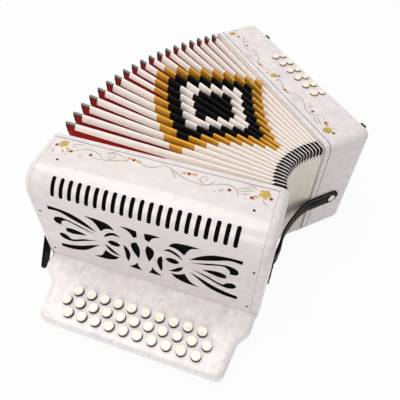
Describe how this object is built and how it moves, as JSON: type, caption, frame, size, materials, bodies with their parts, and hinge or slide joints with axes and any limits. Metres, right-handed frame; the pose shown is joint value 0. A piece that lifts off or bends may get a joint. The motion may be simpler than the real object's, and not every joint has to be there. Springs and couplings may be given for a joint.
{
  "type": "diatonic button accordion",
  "caption": "Diatonic button accordion with pearl cases, pierced grille, sloping treble fingerboard, pleated bellows fanned open, bass case with hand strap, and button rows that press.",
  "frame": {"origin": "middle of the flat back of the treble case, which the instrument lies on", "axes": "+Z from the back to the front of the instrument, +Y from its bottom end to its top end, +X from the treble side towards the bass side"},
  "size_m": [0.5359, 0.3947, 0.187],
  "materials": {
    "pearl_celluloid": "polished white pearl celluloid over wood",
    "pearl_cover": "polished white pearl celluloid over a pierced plate",
    "grille_cloth": "black woven grille cloth",
    "spruce": "planed spruce with a clear varnish",
    "bellows_cloth": "white satin tape on folded card, red and gold and black strips, metal corners",
    "black_leather": "smooth black leather with waxed edges",
    "black_rubber": "moulded matt black rubber",
    "nickel_plate": "polished nickel plate",
    "cream_button": "polished cream pearl in a brass rim"
  },
  "bodies": {
    "treble": {"treble_case": "pearl_celluloid", "grille_cover": "pearl_cover", "grille_cloth": "grille_cloth", "fingerboard": "pearl_celluloid", "treble_reed_block": "spruce", "treble_bellows_frame": "pearl_celluloid", "bellows": "bellows_cloth", "bottom_strap": "black_leather"},
    "bass": {"bass_bellows_frame": "pearl_celluloid", "bass_case": "pearl_celluloid", "bass_reed_block": "spruce", "hand_strap": "black_leather", "bottom_foot_rail": "black_rubber", "top_foot_rail": "black_rubber", "bottom_snap": "nickel_plate"},
    "top_strap": {"top_strap": "black_leather"},
    "air_button": {"air_button": "nickel_plate"},
    "treble_button_inner_1": {"treble_button_inner_1": "cream_button"},
    "treble_button_inner_2": {"treble_button_inner_2": "cream_button"},
    "treble_button_inner_3": {"treble_button_inner_3": "cream_button"},
    "treble_button_inner_4": {"treble_button_inner_4": "cream_button"},
    "treble_button_inner_5": {"treble_button_inner_5": "cream_button"},
    "treble_button_inner_6": {"treble_button_inner_6": "cream_button"},
    "treble_button_inner_7": {"treble_button_inner_7": "cream_button"},
    "treble_button_inner_8": {"treble_button_inner_8": "cream_button"},
    "treble_button_inner_9": {"treble_button_inner_9": "cream_button"},
    "treble_button_inner_10": {"treble_button_inner_10": "cream_button"},
    "treble_button_middle_1": {"treble_button_middle_1": "cream_button"},
    "treble_button_middle_2": {"treble_button_middle_2": "cream_button"},
    "treble_button_middle_3": {"treble_button_middle_3": "cream_button"},
    "treble_button_middle_4": {"treble_button_middle_4": "cream_button"},
    "treble_button_middle_5": {"treble_button_middle_5": "cream_button"},
    "treble_button_middle_6": {"treble_button_middle_6": "cream_button"},
    "treble_button_middle_7": {"treble_button_middle_7": "cream_button"},
    "treble_button_middle_8": {"treble_button_middle_8": "cream_button"},
    "treble_button_middle_9": {"treble_button_middle_9": "cream_button"},
    "treble_button_middle_10": {"treble_button_middle_10": "cream_button"},
    "treble_button_middle_11": {"treble_button_middle_11": "cream_button"},
    "treble_button_outer_1": {"treble_button_outer_1": "cream_button"},
    "treble_button_outer_2": {"treble_button_outer_2": "cream_button"},
    "treble_button_outer_3": {"treble_button_outer_3": "cream_button"},
    "treble_button_outer_4": {"treble_button_outer_4": "cream_button"},
    "treble_button_outer_5": {"treble_button_outer_5": "cream_button"},
    "treble_button_outer_6": {"treble_button_outer_6": "cream_button"},
    "treble_button_outer_7": {"treble_button_outer_7": "cream_button"},
    "treble_button_outer_8": {"treble_button_outer_8": "cream_button"},
    "treble_button_outer_9": {"treble_button_outer_9": "cream_button"},
    "treble_button_outer_10": {"treble_button_outer_10": "cream_button"},
    "bass_button_inner_1": {"bass_button_inner_1": "cream_button"},
    "bass_button_inner_2": {"bass_button_inner_2": "cream_button"},
    "bass_button_inner_3": {"bass_button_inner_3": "cream_button"},
    "bass_button_inner_4": {"bass_button_inner_4": "cream_button"},
    "bass_button_inner_5": {"bass_button_inner_5": "cream_button"},
    "bass_button_inner_6": {"bass_button_inner_6": "cream_button"},
    "bass_button_outer_1": {"bass_button_outer_1": "cream_button"},
    "bass_button_outer_2": {"bass_button_outer_2": "cream_button"},
    "bass_button_outer_3": {"bass_button_outer_3": "cream_button"},
    "bass_button_outer_4": {"bass_button_outer_4": "cream_button"},
    "bass_button_outer_5": {"bass_button_outer_5": "cream_button"},
    "bass_button_outer_6": {"bass_button_outer_6": "cream_button"}
  },
  "joints": [
    {"name": "bellows_fan", "type": "hinge", "parent": "treble", "child": "bass", "pos_m": [0.10185, -0.1583, 0], "axis": [0, 0, 1], "range_deg": [-10, 46.4], "deforming": ["bellows", "bottom_strap"]},
    {"name": "top_strap_swing", "type": "hinge", "parent": "treble", "child": "top_strap", "pos_m": [0.03015, 0.1576, 0.125], "axis": [0, 1, 0], "range_deg": [0, 235]},
    {"name": "air_button_press", "type": "slide", "parent": "bass", "child": "air_button", "axis": [-0.6896, 0.7242, 0], "range_m": [0, 0.004], "stiffness_N_per_m": 400, "springref_m": -0.003},
    {"name": "treble_button_inner_1_press", "type": "slide", "parent": "treble", "child": "treble_button_inner_1", "axis": [0, 0, -1], "range_m": [0, 0.004], "stiffness_N_per_m": 300, "springref_m": -0.003},
    {"name": "treble_button_inner_2_press", "type": "slide", "parent": "treble", "child": "treble_button_inner_2", "axis": [0, 0, -1], "range_m": [0, 0.004], "stiffness_N_per_m": 300, "springref_m": -0.003},
    {"name": "treble_button_inner_3_press", "type": "slide", "parent": "treble", "child": "treble_button_inner_3", "axis": [0, 0, -1], "range_m": [0, 0.004], "stiffness_N_per_m": 300, "springref_m": -0.003},
    {"name": "treble_button_inner_4_press", "type": "slide", "parent": "treble", "child": "treble_button_inner_4", "axis": [0, 0, -1], "range_m": [0, 0.004], "stiffness_N_per_m": 300, "springref_m": -0.003},
    {"name": "treble_button_inner_5_press", "type": "slide", "parent": "treble", "child": "treble_button_inner_5", "axis": [0, 0, -1], "range_m": [0, 0.004], "stiffness_N_per_m": 300, "springref_m": -0.003},
    {"name": "treble_button_inner_6_press", "type": "slide", "parent": "treble", "child": "treble_button_inner_6", "axis": [0, 0, -1], "range_m": [0, 0.004], "stiffness_N_per_m": 300, "springref_m": -0.003},
    {"name": "treble_button_inner_7_press", "type": "slide", "parent": "treble", "child": "treble_button_inner_7", "axis": [0, 0, -1], "range_m": [0, 0.004], "stiffness_N_per_m": 300, "springref_m": -0.003},
    {"name": "treble_button_inner_8_press", "type": "slide", "parent": "treble", "child": "treble_button_inner_8", "axis": [0, 0, -1], "range_m": [0, 0.004], "stiffness_N_per_m": 300, "springref_m": -0.003},
    {"name": "treble_button_inner_9_press", "type": "slide", "parent": "treble", "child": "treble_button_inner_9", "axis": [0, 0, -1], "range_m": [0, 0.004], "stiffness_N_per_m": 300, "springref_m": -0.003},
    {"name": "treble_button_inner_10_press", "type": "slide", "parent": "treble", "child": "treble_button_inner_10", "axis": [0, 0, -1], "range_m": [0, 0.004], "stiffness_N_per_m": 300, "springref_m": -0.003},
    {"name": "treble_button_middle_1_press", "type": "slide", "parent": "treble", "child": "treble_button_middle_1", "axis": [0, 0, -1], "range_m": [0, 0.004], "stiffness_N_per_m": 300, "springref_m": -0.003},
    {"name": "treble_button_middle_2_press", "type": "slide", "parent": "treble", "child": "treble_button_middle_2", "axis": [0, 0, -1], "range_m": [0, 0.004], "stiffness_N_per_m": 300, "springref_m": -0.003},
    {"name": "treble_button_middle_3_press", "type": "slide", "parent": "treble", "child": "treble_button_middle_3", "axis": [0, 0, -1], "range_m": [0, 0.004], "stiffness_N_per_m": 300, "springref_m": -0.003},
    {"name": "treble_button_middle_4_press", "type": "slide", "parent": "treble", "child": "treble_button_middle_4", "axis": [0, 0, -1], "range_m": [0, 0.004], "stiffness_N_per_m": 300, "springref_m": -0.003},
    {"name": "treble_button_middle_5_press", "type": "slide", "parent": "treble", "child": "treble_button_middle_5", "axis": [0, 0, -1], "range_m": [0, 0.004], "stiffness_N_per_m": 300, "springref_m": -0.003},
    {"name": "treble_button_middle_6_press", "type": "slide", "parent": "treble", "child": "treble_button_middle_6", "axis": [0, 0, -1], "range_m": [0, 0.004], "stiffness_N_per_m": 300, "springref_m": -0.003},
    {"name": "treble_button_middle_7_press", "type": "slide", "parent": "treble", "child": "treble_button_middle_7", "axis": [0, 0, -1], "range_m": [0, 0.004], "stiffness_N_per_m": 300, "springref_m": -0.003},
    {"name": "treble_button_middle_8_press", "type": "slide", "parent": "treble", "child": "treble_button_middle_8", "axis": [0, 0, -1], "range_m": [0, 0.004], "stiffness_N_per_m": 300, "springref_m": -0.003},
    {"name": "treble_button_middle_9_press", "type": "slide", "parent": "treble", "child": "treble_button_middle_9", "axis": [0, 0, -1], "range_m": [0, 0.004], "stiffness_N_per_m": 300, "springref_m": -0.003},
    {"name": "treble_button_middle_10_press", "type": "slide", "parent": "treble", "child": "treble_button_middle_10", "axis": [0, 0, -1], "range_m": [0, 0.004], "stiffness_N_per_m": 300, "springref_m": -0.003},
    {"name": "treble_button_middle_11_press", "type": "slide", "parent": "treble", "child": "treble_button_middle_11", "axis": [0, 0, -1], "range_m": [0, 0.004], "stiffness_N_per_m": 300, "springref_m": -0.003},
    {"name": "treble_button_outer_1_press", "type": "slide", "parent": "treble", "child": "treble_button_outer_1", "axis": [0, 0, -1], "range_m": [0, 0.004], "stiffness_N_per_m": 300, "springref_m": -0.003},
    {"name": "treble_button_outer_2_press", "type": "slide", "parent": "treble", "child": "treble_button_outer_2", "axis": [0, 0, -1], "range_m": [0, 0.004], "stiffness_N_per_m": 300, "springref_m": -0.003},
    {"name": "treble_button_outer_3_press", "type": "slide", "parent": "treble", "child": "treble_button_outer_3", "axis": [0, 0, -1], "range_m": [0, 0.004], "stiffness_N_per_m": 300, "springref_m": -0.003},
    {"name": "treble_button_outer_4_press", "type": "slide", "parent": "treble", "child": "treble_button_outer_4", "axis": [0, 0, -1], "range_m": [0, 0.004], "stiffness_N_per_m": 300, "springref_m": -0.003},
    {"name": "treble_button_outer_5_press", "type": "slide", "parent": "treble", "child": "treble_button_outer_5", "axis": [0, 0, -1], "range_m": [0, 0.004], "stiffness_N_per_m": 300, "springref_m": -0.003},
    {"name": "treble_button_outer_6_press", "type": "slide", "parent": "treble", "child": "treble_button_outer_6", "axis": [0, 0, -1], "range_m": [0, 0.004], "stiffness_N_per_m": 300, "springref_m": -0.003},
    {"name": "treble_button_outer_7_press", "type": "slide", "parent": "treble", "child": "treble_button_outer_7", "axis": [0, 0, -1], "range_m": [0, 0.004], "stiffness_N_per_m": 300, "springref_m": -0.003},
    {"name": "treble_button_outer_8_press", "type": "slide", "parent": "treble", "child": "treble_button_outer_8", "axis": [0, 0, -1], "range_m": [0, 0.004], "stiffness_N_per_m": 300, "springref_m": -0.003},
    {"name": "treble_button_outer_9_press", "type": "slide", "parent": "treble", "child": "treble_button_outer_9", "axis": [0, 0, -1], "range_m": [0, 0.004], "stiffness_N_per_m": 300, "springref_m": -0.003},
    {"name": "treble_button_outer_10_press", "type": "slide", "parent": "treble", "child": "treble_button_outer_10", "axis": [0, 0, -1], "range_m": [0, 0.004], "stiffness_N_per_m": 300, "springref_m": -0.003},
    {"name": "bass_button_inner_1_press", "type": "slide", "parent": "bass", "child": "bass_button_inner_1", "axis": [0, 0, -1], "range_m": [0, 0.003], "stiffness_N_per_m": 250, "springref_m": -0.003},
    {"name": "bass_button_inner_2_press", "type": "slide", "parent": "bass", "child": "bass_button_inner_2", "axis": [0, 0, -1], "range_m": [0, 0.003], "stiffness_N_per_m": 250, "springref_m": -0.003},
    {"name": "bass_button_inner_3_press", "type": "slide", "parent": "bass", "child": "bass_button_inner_3", "axis": [0, 0, -1], "range_m": [0, 0.003], "stiffness_N_per_m": 250, "springref_m": -0.003},
    {"name": "bass_button_inner_4_press", "type": "slide", "parent": "bass", "child": "bass_button_inner_4", "axis": [0, 0, -1], "range_m": [0, 0.003], "stiffness_N_per_m": 250, "springref_m": -0.003},
    {"name": "bass_button_inner_5_press", "type": "slide", "parent": "bass", "child": "bass_button_inner_5", "axis": [0, 0, -1], "range_m": [0, 0.003], "stiffness_N_per_m": 250, "springref_m": -0.003},
    {"name": "bass_button_inner_6_press", "type": "slide", "parent": "bass", "child": "bass_button_inner_6", "axis": [0, 0, -1], "range_m": [0, 0.003], "stiffness_N_per_m": 250, "springref_m": -0.003},
    {"name": "bass_button_outer_1_press", "type": "slide", "parent": "bass", "child": "bass_button_outer_1", "axis": [0, 0, -1], "range_m": [0, 0.003], "stiffness_N_per_m": 250, "springref_m": -0.003},
    {"name": "bass_button_outer_2_press", "type": "slide", "parent": "bass", "child": "bass_button_outer_2", "axis": [0, 0, -1], "range_m": [0, 0.003], "stiffness_N_per_m": 250, "springref_m": -0.003},
    {"name": "bass_button_outer_3_press", "type": "slide", "parent": "bass", "child": "bass_button_outer_3", "axis": [0, 0, -1], "range_m": [0, 0.003], "stiffness_N_per_m": 250, "springref_m": -0.003},
    {"name": "bass_button_outer_4_press", "type": "slide", "parent": "bass", "child": "bass_button_outer_4", "axis": [0, 0, -1], "range_m": [0, 0.003], "stiffness_N_per_m": 250, "springref_m": -0.003},
    {"name": "bass_button_outer_5_press", "type": "slide", "parent": "bass", "child": "bass_button_outer_5", "axis": [0, 0, -1], "range_m": [0, 0.003], "stiffness_N_per_m": 250, "springref_m": -0.003},
    {"name": "bass_button_outer_6_press", "type": "slide", "parent": "bass", "child": "bass_button_outer_6", "axis": [0, 0, -1], "range_m": [0, 0.003], "stiffness_N_per_m": 250, "springref_m": -0.003}
  ]
}
